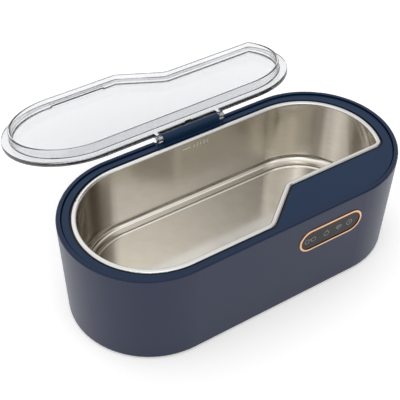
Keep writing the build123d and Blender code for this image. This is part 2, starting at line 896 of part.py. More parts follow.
def make_drive_wires():
    """Two wires from the piezo disc's edge to the drive connector."""
    low = piezo_levels()[0] - electrode_thickness
    end_y = board_y + plug_face_y()
    end_z = board_top_z + plug_height / 2
    wires = []
    for side in (-1, 1):
        x = transducer_x + piezo_radius - drive_from_edge - electrode_wrap * (1 - side)
        y = transducer_y + drive_spread * side
        end_x = board_x + drive_plug_x + side * drive_plug_width / 4
        level = low - drive_wire_radius
        points = [(x, y, level), (x + drive_exit_run, y, level), (end_x, end_y + drive_entry_run, end_z),
                  (end_x, end_y, end_z)]
        wires.append(wire(points, drive_wire_radius, drive_bend))
    return Compound(children=wires)


def make_ribbon():
    """Flat cable from the back of the touch board, over the transformer, to its connector."""
    rear = panel_frame() * Pos(0, -panel_height / 4, touch_board_front() - touch_board_thickness)
    start_y = rear.position.Y + ribbon_thickness
    start_z = rear.position.Z
    end_y = board_y + plug_face_y() - plug_depth / 2
    end_z = board_top_z + plug_height
    x = board_x + panel_plug_x
    points = [(x, start_y, start_z), (x, start_y, start_z - ribbon_drop), (x, end_y, end_z + ribbon_rise),
              (x, end_y, end_z)]
    path = FilletPolyline(*points, radius=ribbon_bend)
    start = Plane(origin=path @ 0, x_dir=(1, 0, 0), z_dir=path % 0)
    return sweep(start * Rectangle(ribbon_width, ribbon_thickness), path=path)


parts = {
    "housing": make_housing(),
    "top_deck": make_deck(),
    "tank": make_tank(),
    "tank_seal": make_seal(),
    "lid": make_lid(),
    "hinge_pin": make_hinge_pin(),
    "panel_ring": make_panel_ring(),
    "panel_lens": make_panel_lens(),
    "touch_board": make_touch_board(),
    "panel_screws": make_panel_screws(),
    "touch_springs": make_touch_springs(),
    "panel_lights": make_panel_lights(),
    "base_cover": make_base_cover(),
    "feet": make_feet(),
    "base_screws": make_base_screws(),
    "coupling_disc": make_coupling_disc(),
    "piezo_disc": make_piezo_disc(),
    "electrodes": make_electrodes(),
    "main_board": make_main_board(),
    "board_screws": make_board_screws(),
    "transformer_core": make_transformer_core(),
    "transformer_winding": make_transformer_winding(),
    "capacitor": make_capacitor(),
    "fuse": make_fuse(),
    "heat_sink": make_heat_sink(),
    "transistor": make_transistor(),
    "connectors": make_connectors(),
    "inlet": make_inlet(),
    "inlet_contacts": make_inlet_contacts(),
    "mains_wires": make_mains_wires(),
    "drive_wires": make_drive_wires(),
    "panel_ribbon": make_ribbon(),
}

os.makedirs("parts", exist_ok=True)
for name, shape in parts.items():
    export_step(shape, f"parts/{name}.step")
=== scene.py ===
import logging
import math
from dataclasses import dataclass, field
from enum import Enum

import bpy
import bmesh
from mathutils import Matrix, Vector

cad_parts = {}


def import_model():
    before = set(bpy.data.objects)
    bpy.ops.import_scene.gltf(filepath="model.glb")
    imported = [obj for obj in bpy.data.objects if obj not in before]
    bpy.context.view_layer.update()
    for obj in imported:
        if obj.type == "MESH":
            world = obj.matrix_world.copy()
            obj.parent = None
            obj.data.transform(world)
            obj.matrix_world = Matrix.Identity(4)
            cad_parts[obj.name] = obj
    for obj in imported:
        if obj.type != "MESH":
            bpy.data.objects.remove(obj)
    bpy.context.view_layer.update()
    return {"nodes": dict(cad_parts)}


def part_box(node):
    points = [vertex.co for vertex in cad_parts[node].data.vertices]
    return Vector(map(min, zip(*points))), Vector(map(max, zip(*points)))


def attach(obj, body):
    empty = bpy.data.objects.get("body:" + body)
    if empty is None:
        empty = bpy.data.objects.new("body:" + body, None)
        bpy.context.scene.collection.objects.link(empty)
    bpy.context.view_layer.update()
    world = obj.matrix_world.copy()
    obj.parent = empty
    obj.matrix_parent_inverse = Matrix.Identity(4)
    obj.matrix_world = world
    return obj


LOG = logging.getLogger("jewelry_cleaner")
MM = 0.001
Rgba = tuple[float, float, float, float]
Nodes = dict[str, bpy.types.Object]

# Where the noise turns from a finish's first tone to its second, and from its glossiest to its dullest.
TONE_START, TONE_END = 0.35, 0.65
GLOSS_START, GLOSS_END = 0.3, 0.7


class Ray(Enum):
    """Kinds of ray that a material tells apart."""

    CAMERA = "Is Camera Ray"
    GLOSSY = "Is Glossy Ray"
    TRANSMISSION = "Is Transmission Ray"
    SHADOW = "Is Shadow Ray"


class Body(Enum):
    """Bodies of the frame that the scene's own pieces ride on."""

    BASE = "base"


class Slot(Enum):
    """Material slots named in the record, for the window and the tank's steel."""

    WINDOW = "lens_black"
    STEEL = "tank_steel"


class Symbol(Enum):
    """Pictograms printed on the touch window, in their order along it."""

    SPECTACLES = "spectacles"
    RING = "ring"
    GEM = "gem"
    TIMER = "timer"


def linear(colour: str) -> Rgba:
    """Turn an sRGB hex colour into linear light.

    Args:
        colour: six hex digits, with or without a leading mark.

    Returns:
        Linear red, green, blue and an alpha of one.
    """
    digits = colour.lstrip("#")
    channels = [int(digits[i:i + 2], 16) / 255 for i in (0, 2, 4)]
    light = [c / 12.92 if c <= 0.04045 else ((c + 0.055) / 1.055) ** 2.4 for c in channels]
    return (light[0], light[1], light[2], 1.0)


def grey(value: float) -> Rgba:
    """A linear grey."""
    return (value, value, value, 1.0)


def add_node(tree: bpy.types.NodeTree, kind: str, inputs: dict | None = None,
             **settings: object) -> bpy.types.Node:
    """Add a node with its settings, its input values and its links.

    Args:
        tree: the tree that the node goes into.
        kind: the node's type name.
        inputs: input name or index to a value, or to the output socket that feeds it.
        settings: attributes of the node.

    Returns:
        The new node.
    """
    node = tree.nodes.new(kind)
    for name, value in settings.items():
        setattr(node, name, value)
    for key, value in (inputs or {}).items():
        if isinstance(value, bpy.types.NodeSocket):
            tree.links.new(value, node.inputs[key])
        else:
            node.inputs[key].default_value = value
    return node


def new_material(name: str) -> tuple[bpy.types.Material, bpy.types.NodeTree]:
    """Make an empty node material.

    Args:
        name: the material's name.

    Returns:
        The material and its cleared tree.
    """
    material = bpy.data.materials.new(name)
    material.use_nodes = True
    material.node_tree.nodes.clear()
    return material, material.node_tree


def grain(tree: bpy.types.NodeTree, size_mm: float,
          stretch: tuple[float, float, float]) -> bpy.types.NodeSocket:
    """Noise on the object's own coordinates with a grain of a real size.

    Args:
        tree: the material's tree.
        size_mm: width of one grain.
        stretch: factor on each axis, under one where the grain runs long.

    Returns:
        The noise factor, from zero to one.
    """
    place = add_node(tree, "ShaderNodeTexCoord")
    turned = add_node(tree, "ShaderNodeMapping", {"Vector": place.outputs["Object"], "Scale": stretch})
    noise = add_node(tree, "ShaderNodeTexNoise", {"Vector": turned.outputs["Vector"],
                                                  "Scale": 1 / (size_mm * MM)})
    return noise.outputs["Fac"]


def above(tree: bpy.types.NodeTree, level_mm: float, blur_mm: float) -> bpy.types.NodeSocket:
    """Zero below a level of the object and one above it.

    Args:
        tree: the material's tree.
        level_mm: the level.
        blur_mm: half the height over which it changes.

    Returns:
        The factor.
    """
    place = add_node(tree, "ShaderNodeTexCoord")
    parts = add_node(tree, "ShaderNodeSeparateXYZ", {"Vector": place.outputs["Object"]})
    step = add_node(tree, "ShaderNodeMapRange", {
        "Value": parts.outputs["Z"], "From Min": (level_mm - blur_mm) * MM,
        "From Max": (level_mm + blur_mm) * MM})
    return step.outputs["Result"]


def two_tone(tree: bpy.types.NodeTree, factor: bpy.types.NodeSocket, first: Rgba | bpy.types.NodeSocket,
             second: Rgba, start: float = 0.0, end: float = 1.0) -> bpy.types.NodeSocket:
    """Colour that goes from one tone to another while a factor rises.

    Args:
        tree: the material's tree.
        factor: what the tone follows.
        first: the first tone.
        second: the second tone.
        start: the factor up to which the first tone holds.
        end: the factor from which the second tone holds.

    Returns:
        The colour.
    """
    share = add_node(tree, "ShaderNodeMapRange", {"Value": factor, "From Min": start, "From Max": end})
    mix = add_node(tree, "ShaderNodeMix", {"Factor": share.outputs["Result"], 6: first, 7: second},
                   data_type="RGBA")
    return mix.outputs[2]


@dataclass(frozen=True)
class Finish:
    """A surface with a colour that varies a little, a roughness that varies and a fine bump."""

    name: str
    colour: str
    second: str
    roughness: float
    spread: float = 0.05
    metallic: float = 0.0
    grain_mm: float = 0.6
    relief_mm: float = 0.01
    stretch: tuple[float, float, float] = (1.0, 1.0, 1.0)
    ior: float = 1.5

    def build(self) -> bpy.types.Material:
        """Make the material.

        Returns:
            The finished material.
        """
        material, tree = new_material(self.name)
        factor = grain(tree, self.grain_mm, self.stretch)
        shader = add_node(tree, "ShaderNodeBsdfPrincipled", {
            "Base Color": self.base_colour(tree, factor), "Metallic": self.metallic,
            "Roughness": self.gloss(tree, factor), "IOR": self.ior, "Normal": self.relief(tree, factor)})
        add_node(tree, "ShaderNodeOutputMaterial", {"Surface": shader.outputs["BSDF"]})
        return material

    def base_colour(self, tree: bpy.types.NodeTree, factor: bpy.types.NodeSocket) -> bpy.types.NodeSocket:
        """Colour between the finish's two tones.

        Args:
            tree: the material's tree.
            factor: the grain.

        Returns:
            The colour.
        """
        return two_tone(tree, factor, linear(self.colour), linear(self.second), TONE_START, TONE_END)

    def gloss(self, tree: bpy.types.NodeTree, factor: bpy.types.NodeSocket) -> bpy.types.NodeSocket:
        """Roughness that follows the grain.

        Args:
            tree: the material's tree.
            factor: the grain.

        Returns:
            The roughness.
        """
        node = add_node(tree, "ShaderNodeMapRange", {
            "Value": factor, "From Min": GLOSS_START, "From Max": GLOSS_END,
            "To Min": self.roughness - self.spread, "To Max": self.roughness + self.spread})
        return node.outputs["Result"]

    def relief(self, tree: bpy.types.NodeTree, factor: bpy.types.NodeSocket) -> bpy.types.NodeSocket:
        """Bump as deep as the real texture.

        Args:
            tree: the material's tree.
            factor: the grain.

        Returns:
            The bumped normal.
        """
        bump = add_node(tree, "ShaderNodeBump", {"Height": factor, "Strength": 1.0,
                                                 "Distance": self.relief_mm * MM})
        return bump.outputs["Normal"]


@dataclass(frozen=True)
class ShellFinish(Finish):
    """Housing paint, with painted shade: the lip that closes its top, facing up, is painted darker and bluer
    than the sides.
    """

    lip_shade_colour: str = "#08203F"
    lip_level_mm: float = 62.6
    lip_blur_mm: float = 0.3

    def base_colour(self, tree: bpy.types.NodeTree, factor: bpy.types.NodeSocket) -> bpy.types.NodeSocket:
        """Side colour below the lip, and above it the lip's colour, which is painted shade.

        Args:
            tree: the material's tree.
            factor: the grain.

        Returns:
            The colour.
        """
        side = super().base_colour(tree, factor)
        # Painted shade: the up-facing lip takes a darker, bluer colour than the side.
        lip = above(tree, self.lip_level_mm, self.lip_blur_mm)
        return two_tone(tree, lip, side, linear(self.lip_shade_colour))


@dataclass(frozen=True)
class SteelFinish(Finish):
    """Drawn stainless sheet: satin on the walls, burnished in the ledge's bends, painted paler on the rolled
    rim as a highlight.
    """

    rim_highlight_colour: str = "#DAD9D7"
    rim_level_mm: float = 61.9
    rim_blur_mm: float = 0.2
    rim_roughness: float = 0.22
    bend_foot_mm: float = 18.3
    bend_foot_blur_mm: float = 0.3
    bend_top_mm: float = 23.5
    bend_top_blur_mm: float = 1.0
    bend_roughness: float = 0.06

    def base_colour(self, tree: bpy.types.NodeTree, factor: bpy.types.NodeSocket) -> bpy.types.NodeSocket:
        """Warm steel, with a painted highlight that makes the rim paler.

        Args:
            tree: the material's tree.
            factor: the grain.

        Returns:
            The colour.
        """
        wall = super().base_colour(tree, factor)
        # Painted highlight: the rim, of the same steel as the walls, is painted paler and more neutral.
        rim = above(tree, self.rim_level_mm, self.rim_blur_mm)
        return two_tone(tree, rim, wall, linear(self.rim_highlight_colour))

    def gloss(self, tree: bpy.types.NodeTree, factor: bpy.types.NodeSocket) -> bpy.types.NodeSocket:
        """Satin floor and walls, with the burnished bends between them and the rim above.

        Args:
            tree: the material's tree.
            factor: the grain.

        Returns:
            The roughness.
        """
        satin = super().gloss(tree, factor)
        bands = ((self.bend_foot_mm, self.bend_foot_blur_mm, self.bend_roughness),
                 (self.bend_top_mm, self.bend_top_blur_mm, satin),
                 (self.rim_level_mm, self.rim_blur_mm, self.rim_roughness))
        rough = satin
        for level_mm, blur_mm, upper in bands:
            rough = add_node(tree, "ShaderNodeMix", {
                "Factor": above(tree, level_mm, blur_mm), "A": rough, "B": upper},
                data_type="FLOAT").outputs["Result"]
        return rough


@dataclass(frozen=True)
class RingFinish(Finish):
    """Plated bezel: the plating's colour along the middle of its stroke, with painted shade making both
    edges browner.
    """

    edge_shade_colour: str = "#6B3F28"
    height_mm: float = 15.8
    length_mm: float = 42.6
    stroke_mm: float = 1.4
    edge_shade_start: float = 0.26
    edge_shade_full: float = 0.55

    def base_colour(self, tree: bpy.types.NodeTree, factor: bpy.types.NodeSocket) -> bpy.types.NodeSocket:
        """Colour by the distance from the middle of the slot-shaped stroke, browner towards both edges as
        painted shade.

        Args:
            tree: the material's tree.
            factor: the grain.

        Returns:
            The colour.
        """
        low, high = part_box("panel_ring")
        place = add_node(tree, "ShaderNodeTexCoord")
        moved = add_node(tree, "ShaderNodeVectorMath", {0: place.outputs["Object"], 1: (low + high) / 2},
                         operation="SUBTRACT")
        size = add_node(tree, "ShaderNodeVectorMath", {0: moved.outputs["Vector"]}, operation="ABSOLUTE")
        straight = (self.length_mm - self.height_mm) / 2 * MM
        inward = add_node(tree, "ShaderNodeVectorMath", {0: size.outputs["Vector"], 1: (straight, 0, 0)},
                          operation="SUBTRACT")
        kept = add_node(tree, "ShaderNodeVectorMath", {0: inward.outputs["Vector"], 1: (0, 0, 0)},
                        operation="MAXIMUM")
        flat = add_node(tree, "ShaderNodeVectorMath", {0: kept.outputs["Vector"], 1: (1, 0, 1)},
                        operation="MULTIPLY")
        reach = add_node(tree, "ShaderNodeVectorMath", {0: flat.outputs["Vector"]}, operation="LENGTH")
        middle = (self.height_mm - self.stroke_mm) / 2 * MM
        off = add_node(tree, "ShaderNodeMath", {0: reach.outputs["Value"], 1: middle}, operation="SUBTRACT")
        away = add_node(tree, "ShaderNodeMath", {0: off.outputs[0]}, operation="ABSOLUTE")
        face = super().base_colour(tree, factor)
        stroke = self.stroke_mm * MM
        # Painted shade: both edges of the stroke are painted browner, where the bezel turns away.
        return two_tone(tree, away.outputs[0], face, linear(self.edge_shade_colour), self.edge_shade_start * stroke,
                        self.edge_shade_full * stroke)


@dataclass(frozen=True)
class ClearPlastic:
    """Clear moulded plastic with painted shade along its rounded edges, which look dark on thick clear
    walls.

    A face is painted darker as it turns edge-on, from edge_shade_start to edge_shade_full: painted shade. A
    ray inside the plastic that meets a face at a shallow angle, from trapped_start to trapped_full, meets a
    dark matt surface instead, up to trapped_dark: painted shade for light lost there.
    """

    name: str
    body: str
    edge: str
    ior: float = 1.49
    roughness: float = 0.02
    edge_shade_start: float = 0.55
    edge_shade_full: float = 0.9
    trapped_start: float = 0.3
    trapped_full: float = 0.6
    trapped_dark: float = 0.85
    smoke: str = "#8E9298"
    density_per_m: float = 14.0

    def build(self) -> bpy.types.Material:
        """Make the material: clear, with painted shade edge-on and a painted dark surface where light is
        caught inside.

        Shadow rays go through it, so that light reaches what is under the plastic.

        Returns:
            The finished material.
        """
        material, tree = new_material(self.name)
        grazing = add_node(tree, "ShaderNodeLayerWeight").outputs["Facing"]
        # Painted shade: the colour darkens as the face turns edge-on.
        tint = two_tone(tree, grazing, linear(self.body), linear(self.edge), self.edge_shade_start,
                        self.edge_shade_full)
        clear = add_node(tree, "ShaderNodeBsdfPrincipled", {
            "Base Color": tint, "Roughness": self.roughness, "IOR": self.ior, "Transmission Weight": 1.0})
        inside = add_node(tree, "ShaderNodeNewGeometry").outputs["Backfacing"]
        caught = add_node(tree, "ShaderNodeMapRange", {
            "Value": grazing, "From Min": self.trapped_start, "From Max": self.trapped_full,
            "To Max": self.trapped_dark})
        trapped = add_node(tree, "ShaderNodeMath", {0: inside, 1: caught.outputs["Result"]},
                           operation="MULTIPLY")
        # Painted shade: a dark matt surface stands in for light lost inside the walls.
        dark = add_node(tree, "ShaderNodeBsdfDiffuse", {"Color": linear(self.edge)})
        solid = add_node(tree, "ShaderNodeMixShader", {0: trapped.outputs[0], 1: clear.outputs["BSDF"],
                                                       2: dark.outputs["BSDF"]})
        through = add_node(tree, "ShaderNodeBsdfTransparent", {"Color": linear(self.body)})
        path = add_node(tree, "ShaderNodeLightPath")
        mix = add_node(tree, "ShaderNodeMixShader", {0: path.outputs[Ray.SHADOW.value],
                                                     1: solid.outputs["Shader"],
                                                     2: through.outputs["BSDF"]})
        depth = add_node(tree, "ShaderNodeVolumeAbsorption", {"Color": linear(self.smoke),
                                                              "Density": self.density_per_m})
        add_node(tree, "ShaderNodeOutputMaterial", {"Surface": mix.outputs["Shader"],
                                                    "Volume": depth.outputs["Volume"]})
        return material


Surface = Finish | ClearPlastic

# A grain finer than about half a millimetre doesn't show in the render, so real textures of a few hundredths
# to a fifth of a millimetre are drawn 0.3 to 0.8 mm wide below. The laminate's weave is as wide as it is.

# Soft-touch paint sprayed on moulded ABS: an even satin with a faint orange peel. Its index is under the
# usual 1.5, because the photographed coat shines less.
SHELL = ShellFinish("satin_paint_on_abs", "#1F2944", "#232D47", 0.36, grain_mm=0.5, relief_mm=0.002,
                    ior=1.36)
# ABS moulded in a spark-eroded tool: dull navy with hardly any highlight, which takes an index under the
# usual 1.5.
DECK = Finish("moulded_navy_abs", "#142B47", "#162E4B", 0.34, grain_mm=0.4, relief_mm=0.002, ior=1.28)
# Deep-drawn stainless sheet: a warm satin in which the surroundings blur into soft bands, with faint
# streaks that run level along the walls.
STEEL = SteelFinish("drawn_stainless_sheet", "#CFCBC3", "#D3CFC7", 0.14, spread=0.01, metallic=1.0,
                    grain_mm=0.8, relief_mm=0.00002, stretch=(0.1, 0.1, 1.0))
# Injection-moulded clear polystyrene: a bright, faintly grey sheet with dark lines of painted shade along
# its edges.
LID = ClearPlastic("clear_moulded_styrene", "#ECEDEF", "#1C1E22")
# Rose gold plated on a zinc casting: a warm metal line round the window, with painted shade down both edges.
RING = RingFinish("rose_gold_plating", "#E6B68F", "#EFC099", 0.2, spread=0.03, metallic=1.0,
                  relief_mm=0.001)
# Smoked acrylic with a satin hard coat: nearly black, with a weak soft sheen in place of a mirror.
WINDOW = Finish("smoked_acrylic", "#130E0F", "#171213", 0.26, relief_mm=0.001, ior=1.35)
# Screen-printed ink, unlit: thin grey lines that stand out little from the window.
INK = Finish("unlit_symbol_ink", "#7C8187", "#858A90", 0.5, relief_mm=0.001)
# Laser-etched steel: a pale matt mark on the satin wall, with little of the metal's mirror left.
ETCH = Finish("etched_steel", "#FAF9F6", "#F4F2ED", 0.5, metallic=0.1, relief_mm=0.002)
# Moulded rubber: dull black with a wide, weak highlight.
RUBBER = Finish("moulded_rubber", "#17171A", "#1C1C20", 0.65, grain_mm=0.5)
# Centreless-ground steel rod: a narrow bright line along the pin.
ROD = Finish("ground_steel_rod", "#C4C4C2", "#CDCDCB", 0.2, metallic=1.0, relief_mm=0.001)
# Zinc-plated steel: pale blue-grey metal with a broad highlight.
ZINC = Finish("zinc_plated_steel", "#A9ABAD", "#B8BABC", 0.32, metallic=1.0)
# Glass laminate under a green solder mask: glossy, with the weave as a slow change of tone.
LAMINATE = Finish("solder_masked_laminate", "#14512F", "#185A36", 0.35, grain_mm=1.2)
# Cast clear resin of the lights, opaque here: pale and glossy.
RESIN = Finish("clear_led_resin", "#DDE2DE", "#E8ECE8", 0.2)
# ABS moulded in an etched tool: charcoal and matt, with a pebble that can be seen.
COVER = Finish("textured_abs", "#26282E", "#2C2E34", 0.55, grain_mm=0.7, relief_mm=0.02)
# Turned and milled aluminium: pale metal with fine upright streaks.
ALUMINIUM = Finish("turned_aluminium", "#C5C7C9", "#D0D2D4", 0.3, metallic=1.0, stretch=(1, 1, 0.2))
# Fired piezo ceramic: matt cream with a dry grain.
CERAMIC = Finish("fired_ceramic", "#CFC7B0", "#D8D0BA", 0.5, grain_mm=0.3)
# Silver paste fired on the ceramic: soft white metal.
SILVER = Finish("fired_silver_film", "#D2D0CB", "#DEDCD7", 0.3, metallic=1.0)
# Sintered ferrite: dark grey, dry and slightly granular.
FERRITE = Finish("sintered_ferrite", "#2F3033", "#37383B", 0.55, grain_mm=0.3, relief_mm=0.02)
# Copper winding under polyester tape: glossy amber with faint level streaks.
WINDING = Finish("polyester_taped_winding", "#C8932B", "#D29E36", 0.3, stretch=(0.2, 0.2, 1))
# Shrunk PVC sleeve: dark blue-grey with a clear highlight down the can.
SLEEVE = Finish("shrink_sleeve", "#22232E", "#2A2B37", 0.3)
# Glazed ceramic tube: off-white and smooth.
FUSE = Finish("ceramic_fuse_tube", "#D5CFC2", "#DED8CC", 0.3)
# Transfer-moulded epoxy: flat black with a fine grain.
EPOXY = Finish("moulded_epoxy", "#1B1B1C", "#222223", 0.5, grain_mm=0.3)
# Moulded natural nylon: milky white, a little waxy.
NYLON = Finish("moulded_nylon", "#E5E2D6", "#ECE9DE", 0.45)
# Glass-filled nylon, moulded: black, dulled by the fibres in its skin.
INLET = Finish("glass_filled_nylon", "#1A1A1B", "#212122", 0.45, grain_mm=0.5, relief_mm=0.015)
# Nickel-plated brass: warm silver contacts.
BRASS = Finish("nickel_plated_brass", "#CDC6B0", "#D6CFBA", 0.25, metallic=1.0)
# Extruded PVC insulation: smooth and evenly coloured, with a soft highlight along the wire.
BROWN_WIRE = Finish("pvc_insulation_brown", "#5A3A26", "#62412C", 0.4)
RED_WIRE = Finish("pvc_insulation_red", "#A3262A", "#AD2E31", 0.4)
# Flat cable in PVC: light grey with fine upright lines.
RIBBON = Finish("flat_cable_pvc", "#A9ABAE", "#B3B5B8", 0.4, stretch=(4, 1, 1))


@dataclass
class Paintshop:
    """Builds each finish once and puts it on pieces."""

    made: dict[str, bpy.types.Material] = field(default_factory=dict)

    def get(self, finish: Surface) -> bpy.types.Material:
        """The material of a finish.

        Args:
            finish: the finish wanted.

        Returns:
            Its material.
        """
        if finish.name not in self.made:
            self.made[finish.name] = finish.build()
        return self.made[finish.name]

    def dress(self, node: bpy.types.Object, finish: Surface) -> None:
        """Give a CAD node its material.

        Args:
            node: the node.
            finish: its finish.
        """
        material = self.get(finish)
        if node.data.materials:
            for slot in node.material_slots:
                slot.material = material
        else:
            node.data.materials.append(material)


def mesh_object(name: str, mesh: bpy.types.Mesh, material: bpy.types.Material) -> bpy.types.Object:
    """Put a finished mesh into the scene.

    Args:
        name: the piece's name.
        mesh: its mesh, in place.
        material: its material.

    Returns:
        The piece.
    """
    piece = bpy.data.objects.new(name, mesh)
    bpy.context.scene.collection.objects.link(piece)
    mesh.materials.clear()
    mesh.materials.append(material)
    return piece


@dataclass
class SubAssembly:
    """Pieces of the frame that are put together as one, each with its finish."""

    finishes: dict[str, Surface] = field(default_factory=dict)

    def build(self, nodes: Nodes, paintshop: Paintshop) -> list[bpy.types.Object]:
        """Dress the CAD nodes of this sub-assembly.

        Args:
            nodes: the frame's nodes.
            paintshop: where the materials come from.

        Returns:
            Every piece of the sub-assembly.
        """
        for name, finish in self.finishes.items():
            paintshop.dress(nodes[name], finish)
        return [nodes[name] for name in self.finishes]


@dataclass
class Housing(SubAssembly):
    """Outer shell, top trim, bottom cover with its screws and feet, and the power inlet."""

    finishes: dict[str, Surface] = field(default_factory=lambda: {
        "housing": SHELL, "top_deck": DECK, "base_cover": COVER, "base_screws": ZINC, "feet": RUBBER,
        "inlet": INLET, "inlet_contacts": BRASS})


@dataclass
class LidAndHinge(SubAssembly):
    """Clear lid and the pin that it turns on."""

    finishes: dict[str, Surface] = field(default_factory=lambda: {"lid": LID, "hinge_pin": ROD})


@dataclass
class Electronics(SubAssembly):
    """Main board with what stands on it, and the wires inside."""

    finishes: dict[str, Surface] = field(default_factory=lambda: {
        "main_board": LAMINATE, "board_screws": ZINC, "transformer_core": FERRITE,
        "transformer_winding": WINDING, "capacitor": SLEEVE, "fuse": FUSE, "heat_sink": ALUMINIUM,
        "transistor": EPOXY, "connectors": NYLON, "mains_wires": BROWN_WIRE, "drive_wires": RED_WIRE,
        "panel_ribbon": RIBBON})


@dataclass
class Stroke:
    """One line of a printed symbol, in millimetres on the window."""

    points: list[tuple[float, float]]
    closed: bool = False


def circle(x: float, y: float, radius: float, count: int = 28) -> Stroke:
    """A round stroke.

    Args:
        x: centre along the panel.
        y: centre up the panel.
        radius: its radius.
        count: how many points.

    Returns:
        The closed stroke.
    """
    steps = [2 * math.pi * i / count for i in range(count)]
    return Stroke([(x + radius * math.cos(a), y + radius * math.sin(a)) for a in steps], True)


@dataclass
class TouchPanel(SubAssembly):
    """Bezel, touch window and what is behind it, with the symbols printed on the window."""

    finishes: dict[str, Surface] = field(default_factory=lambda: {
        "panel_ring": RING, "panel_lens": WINDOW, "touch_board": LAMINATE, "panel_screws": ZINC,
        "touch_springs": ZINC, "panel_lights": RESIN})
    places_mm: dict[Symbol, float] = field(default_factory=lambda: {
        Symbol.SPECTACLES: 17.6, Symbol.RING: 28.6, Symbol.GEM: 37.0, Symbol.TIMER: 44.4})
    centre_z_mm: float = 45.4
    line_mm: float = 0.34
    height_mm: float = 0.03
    eyepiece_radius_mm: float = 1.5
    eyepiece_offset_mm: float = 2.1
    hoop_radius_mm: float = 1.55
    hoop_drop_mm: float = 0.5
    dial_radius_mm: float = 1.8
    edge_band_mm: float = 0.3

    def strokes(self, symbol: Symbol) -> list[Stroke]:
        """Lines of one symbol about its own centre.

        Args:
            symbol: which symbol.

        Returns:
            Its strokes.
        """
        if symbol is Symbol.SPECTACLES:
            sides = (-self.eyepiece_offset_mm, self.eyepiece_offset_mm)
            bridge = Stroke([(-0.6, 0.5), (0, 0.8), (0.6, 0.5)])
            return [*(circle(x, 0, self.eyepiece_radius_mm) for x in sides), bridge]
        if symbol is Symbol.RING:
            setting = Stroke([(-0.8, 1.1), (-0.4, 2.0), (0.4, 2.0), (0.8, 1.1)], True)
            return [circle(0, -self.hoop_drop_mm, self.hoop_radius_mm), setting]
        if symbol is Symbol.GEM:
            outline = Stroke([(-2.0, 0.5), (-1.1, 1.5), (1.1, 1.5), (2.0, 0.5), (0, -1.8)], True)
            return [outline, Stroke([(-2.0, 0.5), (2.0, 0.5)]), Stroke([(-0.8, 0.5), (0, -1.8), (0.8, 0.5)])]
        return [circle(0, 0, self.dial_radius_mm), Stroke([(0, 1.0), (0, 0), (0.8, -0.4)])]

    def window_plane(self, window: bpy.types.Object) -> tuple[float, float]:
        """Place and lean of the window's outer face.

        Args:
            window: the window's node.

        Returns:
            Its Y at the panel's middle height and its change of Y with Z.
        """
        low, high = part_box("panel_lens")
        verts = [v.co for v in window.data.vertices]
        band = self.edge_band_mm * MM
        top = min(v.y for v in verts if v.z > high.z - band)
        bottom = min(v.y for v in verts if v.z < low.z + band)
        return (top + bottom) / 2, (top - bottom) / (high.z - low.z)

    def build(self, nodes: Nodes, paintshop: Paintshop) -> list[bpy.types.Object]:
        """Dress the panel's nodes and make each symbol as raised ink on the window.

        Args:
            nodes: the frame's nodes.
            paintshop: where the materials come from.

        Returns:
            Every piece of the panel.
        """
        pieces = super().build(nodes, paintshop)
        low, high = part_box("panel_lens")
        middle = (low.z + high.z) / 2
        face_y, slope = self.window_plane(nodes["panel_lens"])
        for symbol, x in self.places_mm.items():
            shape = bmesh.new()
            for stroke in self.strokes(symbol):
                self.add_stroke(shape, stroke)
            for vert in shape.verts:
                z = self.centre_z_mm * MM + vert.co.y
                y = face_y + slope * (z - middle) - vert.co.z
                vert.co = Vector((x * MM + vert.co.x, y, z))
            bmesh.ops.recalc_face_normals(shape, faces=shape.faces)
            mesh = bpy.data.meshes.new(f"symbol_{symbol.value}")
            shape.to_mesh(mesh)
            shape.free()
            piece = mesh_object(f"symbol_{symbol.value}", mesh, paintshop.get(INK))
            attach(piece, Body.BASE.value)
            pieces.append(piece)
        return pieces

    def add_stroke(self, shape: bmesh.types.BMesh, stroke: Stroke) -> None:
        """Add a stroke as a thin closed ribbon.

        Args:
            shape: the mesh to add to.
            stroke: the line.
        """
        half = self.line_mm * MM / 2
        lift = Vector((0, 0, self.height_mm * MM))
        points = [Vector((x * MM, y * MM, 0)) for x, y in stroke.points]
        count = len(points)
        rings = []
        for i, point in enumerate(points):
            before = points[i - 1] if stroke.closed or i > 0 else point
            after = points[(i + 1) % count] if stroke.closed or i < count - 1 else point
            along = (after - before).normalized()
            side = Vector((-along.y, along.x, 0)) * half
            rings.append([shape.verts.new(point + side), shape.verts.new(point + side + lift),
                          shape.verts.new(point - side + lift), shape.verts.new(point - side)])
        pairs = list(zip(rings, rings[1:])) + ([(rings[-1], rings[0])] if stroke.closed else [])
        for first, second in pairs:
            for k in range(4):
                shape.faces.new((first[k], first[(k + 1) % 4], second[(k + 1) % 4], second[k]))
        if not stroke.closed:
            shape.faces.new(rings[0])
            shape.faces.new(list(reversed(rings[-1])))


